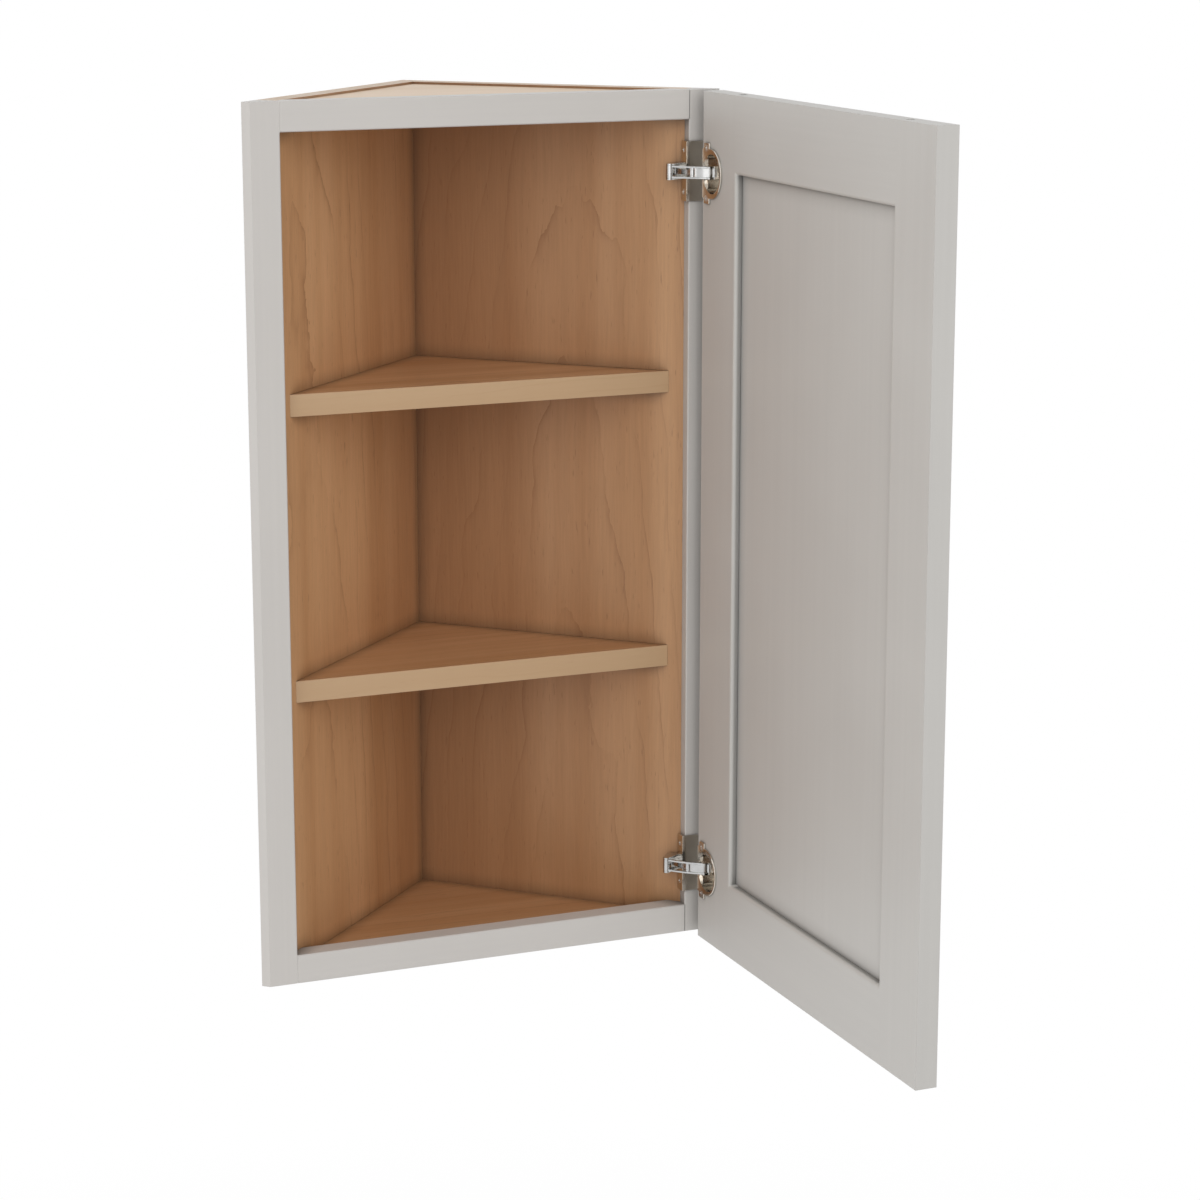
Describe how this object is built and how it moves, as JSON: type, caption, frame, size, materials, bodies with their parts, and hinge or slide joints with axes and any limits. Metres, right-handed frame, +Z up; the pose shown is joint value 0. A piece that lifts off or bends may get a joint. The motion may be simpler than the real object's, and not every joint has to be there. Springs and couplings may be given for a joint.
{
  "type": "wall end cabinet",
  "caption": "Angled wall end cabinet: right-angled maple carcass with fixed shelves, a painted face frame across the corner and a recessed-panel door on concealed hinges.",
  "frame": {"origin": "centre of the bounding box with the door open at a right angle, at the underside", "axes": "+X along the face frame towards the hinge side, -Y out of the front, +Z up"},
  "size_m": [0.431, 0.6548, 0.762],
  "materials": {
    "painted_frame": "satin warm grey paint on hardwood",
    "painted_door": "satin warm grey paint on hardwood",
    "maple_plywood": "clear satin over maple veneer",
    "beech_dowel": "plain turned beech",
    "nickel_plate": "polished nickel plate",
    "pin_steel": "bright turned steel",
    "zinc_screws": "zinc plated, cross recess"
  },
  "bodies": {
    "cabinet": {"side_panel": "maple_plywood", "back_panel": "maple_plywood", "top_panel": "maple_plywood", "bottom_panel": "maple_plywood", "upper_shelf": "maple_plywood", "lower_shelf": "maple_plywood", "frame_left_stile": "painted_frame", "frame_right_stile": "painted_frame", "frame_top_rail": "painted_frame", "frame_bottom_rail": "painted_frame", "frame_dowels": "beech_dowel", "upper_hinge_frame_wing": "nickel_plate", "upper_hinge_wing_screws": "zinc_screws", "upper_hinge_arm": "nickel_plate", "upper_hinge_arm_rivets": "pin_steel", "upper_hinge_adjusting_screw": "zinc_screws", "upper_hinge_arm_pins": "pin_steel", "lower_hinge_frame_wing": "nickel_plate", "lower_hinge_wing_screws": "zinc_screws", "lower_hinge_arm": "nickel_plate", "lower_hinge_arm_rivets": "pin_steel", "lower_hinge_adjusting_screw": "zinc_screws", "lower_hinge_arm_pins": "pin_steel"},
    "short_links": {"upper_hinge_short_link": "nickel_plate", "lower_hinge_short_link": "nickel_plate"},
    "long_links": {"upper_hinge_long_link": "nickel_plate", "lower_hinge_long_link": "nickel_plate"},
    "door": {"door_hinge_stile": "painted_door", "door_lock_stile": "painted_door", "door_top_rail": "painted_door", "door_bottom_rail": "painted_door", "door_panel": "painted_door", "upper_hinge_cup": "nickel_plate", "upper_hinge_cup_screws": "zinc_screws", "upper_hinge_cup_pins": "pin_steel", "lower_hinge_cup": "nickel_plate", "lower_hinge_cup_screws": "zinc_screws", "lower_hinge_cup_pins": "pin_steel"}
  },
  "joints": [
    {"name": "short_links_turn", "type": "hinge", "parent": "cabinet", "child": "short_links", "pos_m": [0.18261, 0.09536, 0.381], "axis": [0, 0, 1], "range_deg": [-0.05, 37.41]},
    {"name": "door_swing", "type": "hinge", "parent": "short_links", "child": "door", "pos_m": [0.19831, 0.08379, 0.381], "axis": [0, 0, 1], "range_deg": [-127.36, 0]},
    {"name": "long_links_turn", "type": "hinge", "parent": "cabinet", "child": "long_links", "pos_m": [0.16692, 0.10827, 0.381], "axis": [0, 0, 1], "range_deg": [-0.05, 30.74]}
  ],
  "couplings": [
    {"joint": "short_links_turn", "follows": "door_swing", "ratio": -0.29336},
    {"joint": "long_links_turn", "follows": "door_swing", "ratio": -0.24097}
  ]
}
